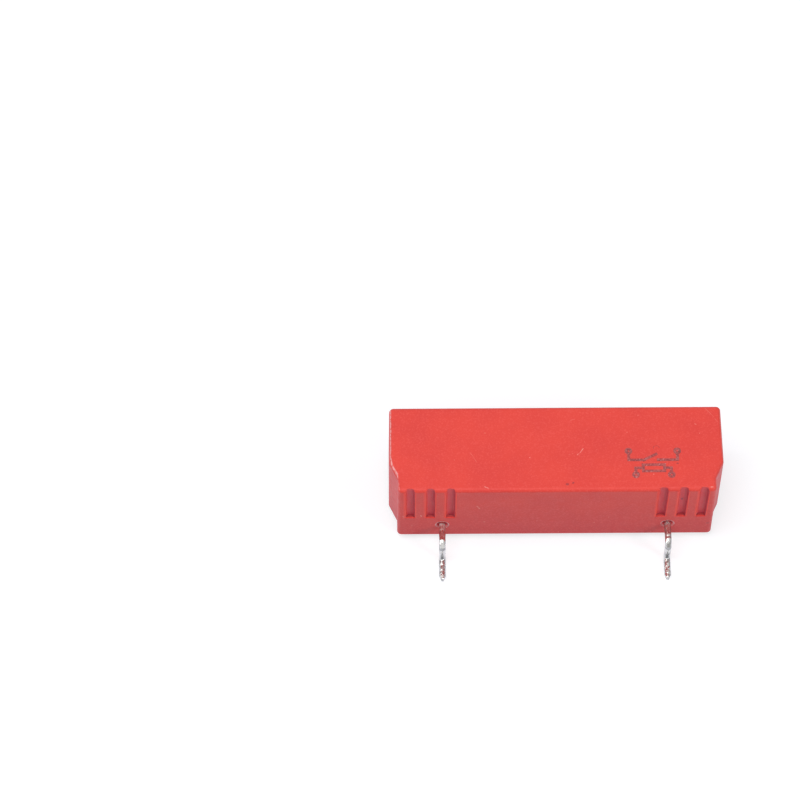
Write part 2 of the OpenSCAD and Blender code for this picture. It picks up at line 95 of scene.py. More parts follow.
# Node helpers
class Graph:
    """Short way to build the nodes of a material or of the world."""

    def __init__(self, owner, output="ShaderNodeOutputMaterial"):
        owner.use_nodes = True
        self.owner = owner
        self.tree = owner.node_tree
        self.tree.nodes.clear()
        self.output = self.add(output)

    def add(self, kind, inputs=None, **settings):
        """New node. Its inputs go by name or number, and each is a value or the output of another node."""
        node = self.tree.nodes.new(kind)
        for key, value in settings.items():
            setattr(node, key, value)
        for key, value in (inputs or {}).items():
            self.put(node.inputs[key], value)
        return node

    def put(self, socket, value):
        if isinstance(value, bpy.types.NodeSocket):
            self.tree.links.new(value, socket)
        else:
            socket.default_value = value

    def math(self, operation, *values):
        return self.add("ShaderNodeMath", dict(enumerate(values)), operation=operation).outputs[0]

    def times(self, first, *others):
        """Product of two or more values."""
        for other in others:
            first = self.math("MULTIPLY", first, other)
        return first

    def vector(self, operation, *values, out=0):
        return self.add("ShaderNodeVectorMath", dict(enumerate(values)), operation=operation).outputs[out]

    def scaled(self, vector, factor):
        return self.add("ShaderNodeVectorMath", {0: vector, "Scale": factor}, operation="SCALE").outputs[0]

    def axes(self, vector):
        return self.add("ShaderNodeSeparateXYZ", {"Vector": vector}).outputs

    def position(self):
        """Place on the object, in mm."""
        return self.scaled(self.add("ShaderNodeTexCoord").outputs["Object"], 1 / MM)

    def stretched(self, *factors):
        """Place in mm with each axis times its own factor, for a grain that runs one way."""
        return self.vector("MULTIPLY", self.position(), factors)

    def noise(self, scale, detail=3.0, rough=0.5, at=None, distortion=0.0, out="Fac"):
        node = self.add("ShaderNodeTexNoise", {
            "Vector": at or self.position(), "Scale": scale, "Detail": detail,
            "Roughness": rough, "Distortion": distortion})
        return node.outputs[out]

    def voronoi(self, scale, at=None, out="Distance"):
        node = self.add("ShaderNodeTexVoronoi", {"Vector": at or self.position(), "Scale": scale})
        return node.outputs[out]

    def ramp(self, fac, low, high, a=0.0, b=1.0):
        """Maps fac from low..high to a..b, clamped."""
        node = self.add("ShaderNodeMapRange", {
            "Value": fac, "From Min": low, "From Max": high, "To Min": a, "To Max": b})
        node.clamp = True
        return node.outputs["Result"]

    def specks(self, scale, edge, kept, at=None):
        """1 in round specks and 0 elsewhere.

        A speck fades out over the range edge. It shows more, the further up the range kept its own
        random value lies.
        """
        dots = self.ramp(self.voronoi(scale, at), *edge, 1.0, 0.0)
        return self.times(dots, self.ramp(self.voronoi(scale, at, "Color"), *kept))

    def mix(self, fac, a, b):
        node = self.add("ShaderNodeMix", data_type="RGBA", blend_type="MIX")
        self.put(node.inputs["Factor"], fac)
        self.put(node.inputs["A"], a)
        self.put(node.inputs["B"], b)
        return node.outputs["Result"]

    def stroke(self, at, a, b, half_width):
        """Distance from the segment from a to b, in half widths.

        No node in it clamps. The renderer works such nodes out late, and would hold every stroke in
        memory until then.
        """
        along = Vector(b) - Vector(a)
        from_a = self.vector("SUBTRACT", at, a)
        share = self.vector("DOT_PRODUCT", from_a, along / along.length_squared, out="Value")
        share = self.math("MINIMUM", self.math("MAXIMUM", share, 0.0), 1.0)
        gap = self.vector("DISTANCE", from_a, self.scaled(along, share), out="Value")
        return self.math("DIVIDE", gap, half_width)

    def strokes(self, at, segments):
        """1 within each segment's half width and 0 outside it, with a soft edge."""
        nearest = None
        for segment in segments:
            gap = self.stroke(at, *segment)
            nearest = gap if nearest is None else self.math("MINIMUM", nearest, gap)
        return self.ramp(nearest, 0.5, 1.3, 1.0, 0.0)

    def crevice(self, reach):
        """Openness of the surface within a reach in mm: 1 on a flat face, less in corners and grooves."""
        node = self.add("ShaderNodeAmbientOcclusion", {"Distance": reach * MM}, samples=8, only_local=True)
        return node.outputs["AO"]

    def bump(self, height, strength, depth, normal=None):
        """Normal of a surface that rises by height times depth, in mm, on top of another normal if given."""
        node = self.add("ShaderNodeBump", {"Height": height, "Strength": strength, "Distance": depth * MM})
        if normal:
            self.put(node.inputs["Normal"], normal)
        return node.outputs["Normal"]

    def mix_shader(self, fac, a, b):
        return self.add("ShaderNodeMixShader", {"Fac": fac, 1: a, 2: b}).outputs[0]

    def surface(self, shader):
        self.put(self.output.inputs["Surface"], shader)

    def finish(self, **inputs):
        """Ends a material with a Principled shader, whose inputs are given with _ for a space."""
        named = {key.replace("_", " "): value for key, value in inputs.items()}
        self.surface(self.add("ShaderNodeBsdfPrincipled", named).outputs[0])
        return self.owner


def material_graph(name):
    return Graph(bpy.data.materials.new(name))


def colour(r, g, b):
    return (r, g, b, 1.0)


# Red plastic of the housing and the bobbin
RED = colour(0.78, 0.060, 0.040)
RED_DEEP = colour(0.64, 0.040, 0.036)
RED_PALE = colour(0.90, 0.140, 0.120)
# Painted highlight on the lips beside hollows and grooves
RED_LIP_HIGHLIGHT = colour(0.97, 0.062, 0.030)
# Painted shade in crevices on the walls
RED_CREVICE_SHADE = colour(0.58, 0.048, 0.085)
# Painted shade on the grooves' faces that turn to -X
RED_GROOVE_SHADE = colour(0.48, 0.012, 0.024)
RED_STAIN = colour(0.16, 0.035, 0.05)
RED_FLECK = colour(0.20, 0.03, 0.035)
# Painted shade in crevices on level faces
RED_SHADE = colour(0.66, 0.032, 0.024)
# Painted shade in the deepest corners and inside the lead holes
RED_CORNER_SHADE = colour(0.22, 0.012, 0.020)
# Pale scuffs and dust, and a painted highlight along the +X top edge
RED_PALE_MARK_AND_HIGHLIGHT = colour(0.92, 0.42, 0.36)
# Painted highlight on the lead hole borders and along the -X top edge
RED_BORDER_HIGHLIGHT = colour(0.95, 0.62, 0.62)
# Painted sheen in patches on the rim's face
RED_RIM_SHEEN = colour(0.80, 0.106, 0.092)
RED_GLOSS = colour(0.82, 0.88, 1.0)
RED_SHEEN = colour(0.50, 0.74, 1.0)

# Heights of the marked face and of the rim, and Y of the grooved wall, which leans inwards
HOUSING_LOW, HOUSING_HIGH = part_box("housing")
TOP = HOUSING_HIGH.z / MM
RIM = HOUSING_LOW.z / MM
WALL_LEAN = 0.05
WALL = HOUSING_LOW.y / MM + WALL_LEAN
# Heights between which painted shade deepens the walls towards the rim, and between which the rim's own face
# ends
WALL_SHADE_Z = (RIM, 6.5)
RIM_FACE_Z = (0.92, 1.05)
CREVICE_REACH = 0.7

# Line along the inner edge of the rim, just above it
INNER_EDGE_Y = -3.70
INNER_EDGE_Z = 0.86

# Places of the leads in X, from their feet, and height and radius of the painted highlight on the lead
# holes' border
MOUNT_AT = {mount["name"]: mount["pos_m"] for mount in frame["record"]["mounts"]}
COIL_LEAD_X = MOUNT_AT["foot_coil_right"][0] / MM
SWITCH_LEAD_X = MOUNT_AT["foot_switch_right"][0] / MM
HOLE_Z = 2.55
HOLE_RING = 0.57

# Middle of the innermost groove, distance from one to the next, and the space that holds them
GROOVE_X = 9.435
GROOVE_PITCH = 1.8
GROOVE_COUNT = 3
GROOVE_LOW_Z = 3.6
GROOVE_END_X = 13.6
GROOVE_BACK_Y = -3.9
GROOVE_FLOOR_Y = -4.05

# Depth below the marked face at which painted highlights on its edge lie, and how much the outlines of marks
# wander
EDGE_DROP = 0.08
WANDER = 0.12


def on_top(x, y):
    return (x, y, TOP)


def on_wall(x, z):
    return (x, WALL, z)


def on_groove_floor(x, z):
    return (x, GROOVE_FLOOR_Y, z)


def on_rim(x, y):
    return (x, y, RIM)


def on_inner_edge(x):
    return (x, INNER_EDGE_Y, INNER_EDGE_Z)


def on_edge(x, y):
    return (x, y, TOP - EDGE_DROP)


def line(on, points, *half_widths):
    """Strokes along a line of points on a face, each with its own half width."""
    return [(on(*a), on(*b), half_width) for a, b, half_width in zip(points, points[1:], half_widths)]


# Marks of moulding and handling, and painted highlights along edges: start, end and half width of each
# stroke
PALE_MARKS = [
    *line(on_top, [(2.40, -0.05), (2.15, -0.45), (1.85, -0.70)], 0.030, 0.025),
    (on_top(-6.45, -3.85), on_top(-6.10, -4.00), 0.035),
    (on_top(13.60, -4.00), on_top(14.00, -4.00), 0.040),
    (on_wall(-7.10, 6.05), on_wall(-6.85, 5.60), 0.06),
    (on_wall(-6.40, 3.10), on_wall(-6.35, 3.05), 0.06),
    (on_wall(-5.60, 2.15), on_wall(-5.50, 2.10), 0.05),
    (on_wall(-6.60, 1.85), on_wall(-6.50, 1.80), 0.05),
    (on_wall(-4.50, 2.60), on_wall(-4.40, 2.55), 0.05),
    (on_wall(-13.75, 4.20), on_wall(-13.65, 4.10), 0.06),
    (on_wall(-12.10, 4.35), on_wall(-12.05, 4.20), 0.06),
    (on_rim(12.50, -4.40), on_rim(12.50, -3.60), 0.035),
    (on_rim(8.55, -4.40), on_rim(8.50, -3.40), 0.035),
    (on_rim(14.30, -2.15), on_rim(14.25, -1.30), 0.030),
    (on_rim(-10.45, -4.40), on_rim(-10.75, -3.70), 0.035),
    (on_rim(-12.45, -4.35), on_rim(-12.40, -3.95), 0.025),
    (on_rim(12.55, 3.75), on_rim(12.55, 4.40), 0.035),
    (on_rim(14.10, 4.00), on_rim(14.10, 4.40), 0.025),
    (on_rim(-14.40, 4.385), on_rim(14.50, 4.385), 0.07),
    (on_rim(3.45, 4.35), on_rim(3.60, 4.30), 0.06),
    (on_rim(10.60, 4.30), on_rim(11.20, 4.40), 0.05),
    (on_inner_edge(-14.10), on_inner_edge(-8.60), 0.11),
    (on_inner_edge(8.60), on_inner_edge(14.15), 0.11),
]
FAINT_MARKS_AND_EDGE_HIGHLIGHT = [
    (on_top(1.80, 3.00), on_top(1.30, 2.80), 0.020),
    (on_top(1.50, -0.55), on_top(1.10, -0.65), 0.025),
    *line(on_top, [(13.40, 4.10), (14.00, 3.40), (14.50, 2.60)], 0.020, 0.020),
    (on_top(-7.70, -0.35), on_top(-7.10, -1.35), 0.020),
    (on_top(12.50, 2.40), on_top(12.60, 2.35), 0.050),
    # Painted highlight along the +X top edge
    (on_edge(14.80, 3.80), on_edge(14.80, -0.90), 0.060),
]
# Painted highlight along the rounded -X top edge
EDGE_POINTS = [(-14.76, 4.00), (-14.77, -0.90), (-14.60, -1.70), (-14.20, -2.50),
               (-14.10, -3.55), (-14.00, -4.15)]
EDGE_HIGHLIGHTS = line(on_edge, EDGE_POINTS, 0.065, 0.080, 0.095, 0.080, 0.070)
DARK_MARKS = [
    (on_top(0.85, -3.65), on_top(0.95, -3.65), 0.11),
    (on_top(1.35, -3.55), on_top(1.45, -3.50), 0.07),
    *line(on_top, [(8.65, -0.10), (8.70, 0.10), (9.00, 0.20), (9.20, 0.00)], 0.02, 0.02, 0.02),
    (on_top(10.70, -1.60), on_top(10.80, -1.60), 0.06),
    (on_wall(13.70, 2.60), on_wall(13.85, 2.60), 0.07),
    (on_groove_floor(11.20, 6.75), on_groove_floor(11.20, 6.55), 0.10),
]

# Painted highlights on the lips of the grooves: Y and Z of both ends, then distance from the groove's middle
# and half width
LIP_LOW = (-4.36, 4.0)
LIP_HIGH = (-4.30, 8.4)
LIP_SIDES = ((-0.47, 0.14), (0.48, 0.07))
GROOVE_MIDDLES = [end * (GROOVE_X + i * GROOVE_PITCH) for end in (-1, 1) for i in range(GROOVE_COUNT)]
LIP_HIGHLIGHTS = [((x + aside, *LIP_LOW), (x + aside, *LIP_HIGH), half_width)
             for x in GROOVE_MIDDLES for aside, half_width in LIP_SIDES]

# Marks and painted highlights, how much they tint, their tint, and whether they are broken up in patches
STROKE_LAYERS = [
    (PALE_MARKS, 0.70, RED_PALE_MARK_AND_HIGHLIGHT, True),
    (FAINT_MARKS_AND_EDGE_HIGHLIGHT, 0.30, RED_PALE_MARK_AND_HIGHLIGHT, True),
    (EDGE_HIGHLIGHTS, 0.60, RED_BORDER_HIGHLIGHT, True),
    (LIP_HIGHLIGHTS, 0.75, RED_LIP_HIGHLIGHT, False),
    (DARK_MARKS, 0.60, RED_STAIN, False),
]


def from_lead(g, place):
    """Distance in X from the nearest lead's middle plane; it is negative towards the relay's middle."""
    coil_side = g.math("LESS_THAN", place["Y"], 0.0)
    lead_x = g.math("ADD", SWITCH_LEAD_X, g.times(coil_side, COIL_LEAD_X - SWITCH_LEAD_X))
    return g.math("SUBTRACT", g.math("ABSOLUTE", place["X"]), lead_x)


def hole_ring_highlights(g, place):
    """1 on the upper part of a painted highlight along the border of each lead hole, less on its lower part.
    """
    across = from_lead(g, place)
    up = g.math("SUBTRACT", place["Z"], HOLE_Z)
    radius = g.math("SQRT", g.math("ADD", g.times(across, across), g.times(up, up)))
    off_ring = g.math("ABSOLUTE", g.math("SUBTRACT", radius, HOLE_RING))
    return g.times(g.ramp(off_ring, 0.035, 0.09, 1.0, 0.0), g.ramp(up, -0.15, 0.20, 0.35, 1.0))


def red_ground(g, at, place, upright):
    """Mottled red, with painted shade deepening the walls towards the rim, and a painted sheen in patches on
    the rim's own face.
    """
    base = g.mix(g.ramp(g.noise(0.30, 3.0, 0.5, at=at), 0.38, 0.70, 0.0, 0.35), RED, RED_DEEP)
    # Painted shade: the walls deepen in colour towards the rim
    rim_shade = g.ramp(place["Z"], *WALL_SHADE_Z, 1.0, 0.0)
    base = g.mix(g.times(rim_shade, upright, 0.8), base, RED_DEEP)
    # Painted sheen in patches on the rim's own face
    on_rim_face = g.times(g.ramp(place["Z"], *RIM_FACE_Z, 1.0, 0.0), g.math("SUBTRACT", 1.0, upright))
    sheen_patches = g.ramp(g.noise(0.55, 3.0, 0.6, at=at), 0.36, 0.62, 0.25, 1.0)
    return g.mix(g.times(on_rim_face, sheen_patches), base, RED_RIM_SHEEN)


def tint_grain(g, grain_fine, grain_tiny, upright, base):
    """Pale and deep grains, stronger on the walls."""
    strength = g.ramp(upright, 0.0, 1.0, 0.24, 0.32)
    base = g.mix(g.times(g.ramp(grain_fine, 0.50, 0.66), strength), base, RED_PALE)
    return g.mix(g.times(g.ramp(grain_tiny, 0.34, 0.48, 1.0, 0.0), strength), base, RED_DEEP)


def paint_hollow_highlights_and_shade(g, openness, upright, base):
    """Painted highlights on the lips beside hollows, and painted shade in the hollows, cooler on the walls.
    """
    base = g.mix(g.ramp(openness, 0.93, 0.995, 0.9, 0.0), base, RED_LIP_HIGHLIGHT)
    return g.mix(g.ramp(openness, 0.80, 0.92, 1.0, 0.0), base, g.mix(upright, RED_SHADE, RED_CREVICE_SHADE))


def paint_groove_highlights_and_shade(g, place, facing, base):
    """Painted shade on the grip grooves' faces that turn to -X, and painted highlights on those that turn to
    +X.
    """
    inside = g.times(g.math("LESS_THAN", place["Y"], GROOVE_BACK_Y),
                     g.math("GREATER_THAN", place["Z"], GROOVE_LOW_Z),
                     g.math("LESS_THAN", g.math("ABSOLUTE", place["X"]), GROOVE_END_X))
    # Painted shade where the grooves face -X, painted highlight where they face +X
    away = g.times(inside, g.ramp(facing["X"], -0.60, -0.08, 0.80, 0.0))
    towards = g.times(inside, g.ramp(facing["X"], 0.35, 0.75, 0.0, 0.7))
    return g.mix(towards, g.mix(away, base, RED_GROOVE_SHADE), RED_LIP_HIGHLIGHT)


def tint_specks(g, at, base):
    """Pale dust and a few dark flecks."""
    base = g.mix(g.times(g.specks(1.15, (0.035, 0.065), (0.60, 0.64), at), 0.6), base, RED_PALE_MARK_AND_HIGHLIGHT)
    return g.mix(g.times(g.specks(0.42, (0.022, 0.045), (0.50, 0.54), at), 0.65), base, RED_FLECK)


def tint_marks_and_highlights(g, at, place, base):
    """Painted highlights on the borders of the lead holes, and all strokes, whose outlines wander a little.
    """
    wobble = g.vector("SUBTRACT", g.noise(3.0, 2.0, at=at, out="Color"), (0.5, 0.5, 0.5))
    bent = g.vector("ADD", at, g.scaled(wobble, WANDER))
    patchy = g.ramp(g.noise(4.0, 2.0, at=at), 0.36, 0.52, 0.25, 1.0)
    # Painted highlight on the lead hole borders
    rings = g.times(hole_ring_highlights(g, place), g.ramp(patchy, 0.25, 1.0, 0.65, 1.0))
    base = g.mix(rings, base, RED_BORDER_HIGHLIGHT)
    for marks, amount, tint, in_patches in STROKE_LAYERS:
        level = g.times(patchy, amount) if in_patches else amount
        base = g.mix(g.times(g.strokes(bent, marks), level), base, tint)
    return base


def moulded_red(name, grain=1.0, marked=False):
    """Satin moulded plastic with fine grain, faint mottling and dust, painted shade in crevices and painted
    highlights on their lips.

    Grain scales its bumps, and marked adds what the housing alone has: painted shade and highlights in the
    grooves, painted highlights on edges and hole borders, and marks.
    """
    g = material_graph(name)
    at = g.position()
    place = g.axes(at)
    grain_fine = g.noise(7.0, 2.0, 0.6, at=at)
    grain_tiny = g.noise(19.0, 2.0, 0.6, at=at)
    facing = g.axes(g.add("ShaderNodeNewGeometry").outputs["True Normal"])
    upright = g.ramp(g.math("ABSOLUTE", facing["Z"]), 0.5, 0.8, 1.0, 0.0)
    openness = g.crevice(CREVICE_REACH)
    base = red_ground(g, at, place, upright)
    base = tint_grain(g, grain_fine, grain_tiny, upright, base)
    base = paint_hollow_highlights_and_shade(g, openness, upright, base)
    if marked:
        base = paint_groove_highlights_and_shade(g, place, facing, base)
    # Painted shade in the deepest corners and inside the lead holes.
    base = g.mix(g.ramp(openness, 0.42, 0.72, 1.0, 0.0), base, RED_CORNER_SHADE)
    base = tint_specks(g, at, base)
    if marked:
        base = tint_marks_and_highlights(g, at, place, base)
    rough = g.ramp(g.noise(1.8, 3.0, at=at), 0.3, 0.7, 0.42, 0.52)
    height = g.math("ADD", g.times(grain_fine, 0.7), g.times(grain_tiny, 0.4))
    normal = g.bump(height, 0.6 * grain, 0.012)
    return g.finish(Base_Color=base, Roughness=rough, Normal=normal, IOR=1.5, Specular_IOR_Level=0.36,
                    Specular_Tint=RED_GLOSS, Sheen_Weight=0.08, Sheen_Roughness=0.45, Sheen_Tint=RED_SHEEN)


# Browned plastic of the circuit symbol
BROWN = colour(0.29, 0.042, 0.044)
BROWN_PALE = colour(0.52, 0.12, 0.115)
BROWN_FOAM = colour(0.60, 0.27, 0.27)
BROWN_DEEP = colour(0.22, 0.050, 0.065)


def laser_mark():
    """Plastic that a laser has browned: uneven, speckled with paler foamed grains."""
    g = material_graph("laser_mark")
    grains = g.noise(8.0, 2.0, 0.7)
    base = g.mix(g.ramp(grains, 0.38, 0.62), BROWN, BROWN_PALE)
    base = g.mix(g.ramp(g.voronoi(4.0), 0.14, 0.30, 0.65, 0.0), base, BROWN_FOAM)
    base = g.mix(g.ramp(g.noise(2.6, 2.0), 0.56, 0.66, 0.0, 0.6), base, BROWN_DEEP)
    return g.finish(Base_Color=base, Roughness=g.ramp(grains, 0.3, 0.7, 0.5, 0.75),
                    Normal=g.bump(grains, 0.6, 0.02), Specular_IOR_Level=0.3)


# Casting resin, its drops and its edge
RESIN = colour(0.004, 0.004, 0.006)
RESIN_STREAK = colour(0.010, 0.010, 0.013)
RESIN_DUST = colour(0.45, 0.44, 0.44)
DROP = colour(0.30, 0.315, 0.36)
DROP_CLOUD = colour(0.045, 0.047, 0.058)
FILLET = colour(0.20, 0.20, 0.26)
FILLET_STREAK = colour(0.07, 0.07, 0.095)
FILLET_GRAIN = colour(0.36, 0.36, 0.42)


def potting_resin():
    """Glossy black casting resin with flow streaks and settled dust."""
    g = material_graph("potting_resin")
    streaks = g.noise(0.55, 4.0, 0.55, at=g.stretched(0.26, 1.5, 1.0), distortion=0.7)
    dust = g.specks(1.6, (0.03, 0.06), (0.55, 0.6))
    fibres = g.ramp(g.noise(14.0, 2.0), 0.70, 0.78)
    base = g.mix(g.ramp(streaks, 0.45, 0.75), RESIN, RESIN_STREAK)
    base = g.mix(g.math("MAXIMUM", g.times(dust, 0.7), g.times(fibres, 0.12)), base, RESIN_DUST)
    rough = g.math("ADD", g.ramp(streaks, 0.35, 0.75, 0.07, 0.16), g.times(dust, 0.4))
    normal = g.bump(streaks, 0.25, 0.05)
    normal = g.bump(g.noise(0.25, 2.0), 0.4, 0.12, normal)
    return g.finish(Base_Color=base, Roughness=rough, Normal=normal, IOR=1.54, Specular_IOR_Level=0.09)


def drop_skin():
    """Grey metallic skin of a cured drop: nearly smooth, with darker clouds."""
    g = material_graph("drop_skin")
    cloud = g.noise(2.6, 2.0, 0.5)
    base = g.mix(g.ramp(cloud, 0.44, 0.58), DROP, DROP_CLOUD)
    return g.finish(Base_Color=base, Roughness=g.ramp(cloud, 0.3, 0.7, 0.03, 0.12),
                    Normal=g.bump(cloud, 0.5, 0.04), Metallic=0.9)


def fillet_skin():
    """Thin grey edge of resin, streaked where it crept up the wall."""
    g = material_graph("fillet_skin")
    streak = g.noise(1.0, 3.0, 0.6, at=g.stretched(4.2, 1.5, 4.2))
    grain = g.noise(9.0, 2.0, 0.6)
    base = g.mix(g.ramp(streak, 0.36, 0.64), FILLET, FILLET_STREAK)
    base = g.mix(g.ramp(grain, 0.52, 0.66, 0.0, 0.6), base, FILLET_GRAIN)
    return g.finish(Base_Color=base, Roughness=g.ramp(grain, 0.3, 0.7, 0.35, 0.55),
                    Normal=g.bump(grain, 0.6, 0.03), IOR=1.54)


# Tinned wire of the leads. Pairs in Z, or in Y from the middle plane, are where a zone fades in or out
WIRE = colour(0.68, 0.67, 0.655)
WIRE_DULL = colour(0.46, 0.45, 0.44)
WIRE_SCRATCH = colour(0.18, 0.175, 0.18)
WIRE_STRAIGHT = colour(0.80, 0.77, 0.74)
WIRE_DARK_BAND = colour(0.11, 0.115, 0.13)
WIRE_PIT = colour(0.14, 0.14, 0.15)
STRAIGHT_END_Y = (5.7, 6.2)
DROP_START_Y = (6.50, 6.65)
FOOT_START_Y = (6.85, 7.05)
FOOT_TOP_Z = (0.20, 0.38)
DARK_BAND_Z = 2.02
DARK_BAND_WANDER = 0.35
DARK_LINE_TAPER_Z = (0.65, 1.7)
DARK_LINE_HALF_WIDTHS = (0.19, 0.05)
DARK_LINE_END_Z = (1.5, 2.1)


def wire_dark_bands(g, place, dents):
    """Strength of a darker band across the lead near the top of the drop, and of a darker line down the drop
    that widens towards the foot.
    """
    crease_z = g.math("ADD", DARK_BAND_Z, g.times(dents, DARK_BAND_WANDER))
    dark_band = g.ramp(g.math("ABSOLUTE", g.math("SUBTRACT", place["Z"], crease_z)), 0.03, 0.20, 0.8, 0.0)
    half_width = g.ramp(place["Z"], *DARK_LINE_TAPER_Z, *DARK_LINE_HALF_WIDTHS)
    dark_line = g.math("DIVIDE", g.math("ABSOLUTE", from_lead(g, place)), half_width)
    dark_line = g.times(g.ramp(dark_line, 0.4, 1.3, 1.0, 0.0), g.ramp(place["Z"], *DARK_LINE_END_Z, 1.0, 0.0))
    return g.math("MAXIMUM", dark_band, dark_line)


def tinned_wire():
    """Dented tinned wire: rougher and paler where straight, with darker bands on its way down, pitted on the
    foot.
    """
    g = material_graph("tinned_wire")
    at = g.position()
    place = g.axes(at)
    out = g.math("ABSOLUTE", place["Y"])
    straight = g.ramp(out, *STRAIGHT_END_Y, 1.0, 0.0)
    on_foot = g.ramp(out, *FOOT_START_Y)
    foot_top = g.times(on_foot, g.ramp(place["Z"], *FOOT_TOP_Z))
    on_drop = g.times(g.ramp(out, *DROP_START_Y), g.math("SUBTRACT", 1.0, on_foot))
    patches = g.noise(1.6, 2.0, 0.5, at=at)
    dents = g.noise(1.7, 1.0, 0.4, at=at)
    hammered = g.noise(3.4, 2.0, 0.55, at=at, distortion=0.6)
    scratches = g.noise(1.0, 3.0, 0.7, at=g.stretched(9.0, 1.2, 1.6))
    base = g.mix(g.ramp(patches, 0.50, 0.62), WIRE, WIRE_DULL)
    base = g.mix(g.ramp(scratches, 0.53, 0.68, 0.0, 0.5), base, WIRE_SCRATCH)
    base = g.mix(g.times(straight, 0.3), base, WIRE_STRAIGHT)
    base = g.mix(g.times(wire_dark_bands(g, place, dents), on_drop, 0.75), base, WIRE_DARK_BAND)
    base = g.mix(g.times(foot_top, g.ramp(hammered, 0.56, 0.70), 0.35), base, WIRE_PIT)
    rough = g.math("ADD", g.ramp(patches, 0.42, 0.62, 0.10, 0.24), g.ramp(scratches, 0.4, 0.7, 0.0, 0.08))
    rough = g.math("ADD", rough, g.times(straight, 0.05))
    normal = g.bump(dents, 1.0, 0.10)
    normal = g.bump(g.times(hammered, foot_top), 1.0, 0.09, normal)
    normal = g.bump(scratches, 0.5, 0.014, normal)
    return g.finish(Base_Color=base, Metallic=1.0, Roughness=rough, Normal=normal)


# Other metals: tint, dull tint, least and greatest roughness, scale of the tool marks and their depth
METALS = {
    "reed_alloy": (colour(0.58, 0.55, 0.51), colour(0.47, 0.44, 0.41), 0.22, 0.36, 12.0, 0.004),
    "contact_metal": (colour(0.56, 0.56, 0.59), colour(0.42, 0.42, 0.45), 0.25, 0.42, 30.0, 0.003),
    "weld_metal": (colour(0.60, 0.60, 0.58), colour(0.40, 0.38, 0.36), 0.20, 0.45, 9.0, 0.015),
    "solder": (colour(0.76, 0.76, 0.75), colour(0.60, 0.60, 0.60), 0.10, 0.25, 5.0, 0.008),
}


def metal(name, tint, dull, rough_low, rough_high, mark_scale, mark_depth):
    """Worked metal with tool marks and cloudy tarnish."""
    g = material_graph(name)
    cloud = g.noise(1.6, 4.0, 0.6)
    marks = g.noise(mark_scale, 3.0, 0.65)
    base = g.mix(g.ramp(cloud, 0.40, 0.72), tint, dull)
    rough = g.ramp(marks, 0.3, 0.7, rough_low, rough_high)
    normal = g.bump(marks, 0.5, mark_depth)
    normal = g.bump(g.noise(2.2, 2.0), 0.6, mark_depth * 4, normal)
    return g.finish(Base_Color=base, Metallic=1.0, Roughness=rough, Normal=normal)


# Winding, tape and glass
COPPER_GAP = colour(0.34, 0.10, 0.035)
COPPER = colour(0.78, 0.36, 0.17)
TAPE_DARK = colour(0.62, 0.33, 0.05)
TAPE = colour(0.80, 0.50, 0.12)
GLASS = colour(0.80, 0.94, 0.84)
GLASS_DEEP = colour(0.70, 0.90, 0.76)


def wound_copper():
    """Enamelled wire wound side by side: ridges along X, with darker lines between the turns."""
    g = material_graph("copper")
    bands = g.add("ShaderNodeTexWave", {
        "Vector": g.position(), "Scale": 3.4, "Distortion": 0.35, "Detail": 1.0},
        wave_type="BANDS", bands_direction="X", wave_profile="SIN")
    wave = bands.outputs["Fac"]
    return g.finish(Base_Color=g.mix(wave, COPPER_GAP, COPPER), Normal=g.bump(wave, 0.8, 0.04),
                    Metallic=0.9, Roughness=g.ramp(g.noise(6.0), 0.3, 0.7, 0.22, 0.38))


def tape_film():
    """Thin amber film, slightly wrinkled."""
    g = material_graph("tape_film")
    wrinkle = g.noise(1.1, 3.0, 0.5, distortion=0.5)
    return g.finish(Base_Color=g.mix(g.ramp(wrinkle, 0.35, 0.7), TAPE_DARK, TAPE),
                    Roughness=g.ramp(wrinkle, 0.3, 0.7, 0.12, 0.28), Normal=g.bump(wrinkle, 0.5, 0.05))


def capsule_glass():
    """Green-tinted sealing glass."""
    g = material_graph("capsule_glass")
    swirl = g.noise(0.7, 2.0)
    return g.finish(Base_Color=g.mix(g.ramp(swirl, 0.3, 0.7), GLASS, GLASS_DEEP),
                    Roughness=g.ramp(swirl, 0.3, 0.7, 0.01, 0.05), Normal=g.bump(swirl, 0.15, 0.02),
                    Transmission_Weight=1.0, IOR=1.5)


def make_materials():
    """Material of each slot in the record."""
    materials = {
        "housing_plastic": moulded_red("housing_plastic", marked=True),
        "bobbin_plastic": moulded_red("bobbin_plastic", grain=1.6),
        "potting_resin": potting_resin(),
        "copper": wound_copper(),
        "tape_film": tape_film(),
        "capsule_glass": capsule_glass(),
        "tinned_wire": tinned_wire(),
    }
    for name, look in METALS.items():
        materials[name] = metal(name, *look)
    return materials


def dress_nodes(materials):
    slot_of = {s["node"]: s["material_slot"] for s in frame["record"]["subparts"]}
    for name, obj in NODES.items():
        obj.data.materials.clear()
        obj.data.materials.append(materials[slot_of[name]])


# Mesh helpers
def piece(name, mesh_maker, material, body="case"):
    """New piece of the relay, which rides on a body and takes the given material."""
    obj = add_object(name, build_mesh(name, mesh_maker))
    obj.data.materials.append(material)
    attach(obj, body)
    return obj


def join_loops(bm, first, second):
    """Faces from one closed loop of points to the next."""
    for i in range(len(first)):
        j = (i + 1) % len(first)
        bm.faces.new((first[i], first[j], second[j], second[i]))


# Circuit symbol on the marked face
MARK_LINE = 0.26
MARK_PROUD = 0.012
RING_OUTER = 0.34
RING_INNER = 0.07
RING_STEPS = 32
SWITCH_PIN_X = (6.43, 10.77)
SWITCH_PIN_Y = -0.35
SWITCH_LINE_Y = -1.24
SWITCH_LEFT_END_X = 7.78
BLADE_TIP = (8.87, -0.67)
SWITCH_RIGHT_END_X = 9.05
COIL_X = (7.68, 9.57)
COIL_Y = (-2.37, -1.74)
COIL_PIN_X = (7.01, 10.17)
COIL_PIN_Y = -2.74


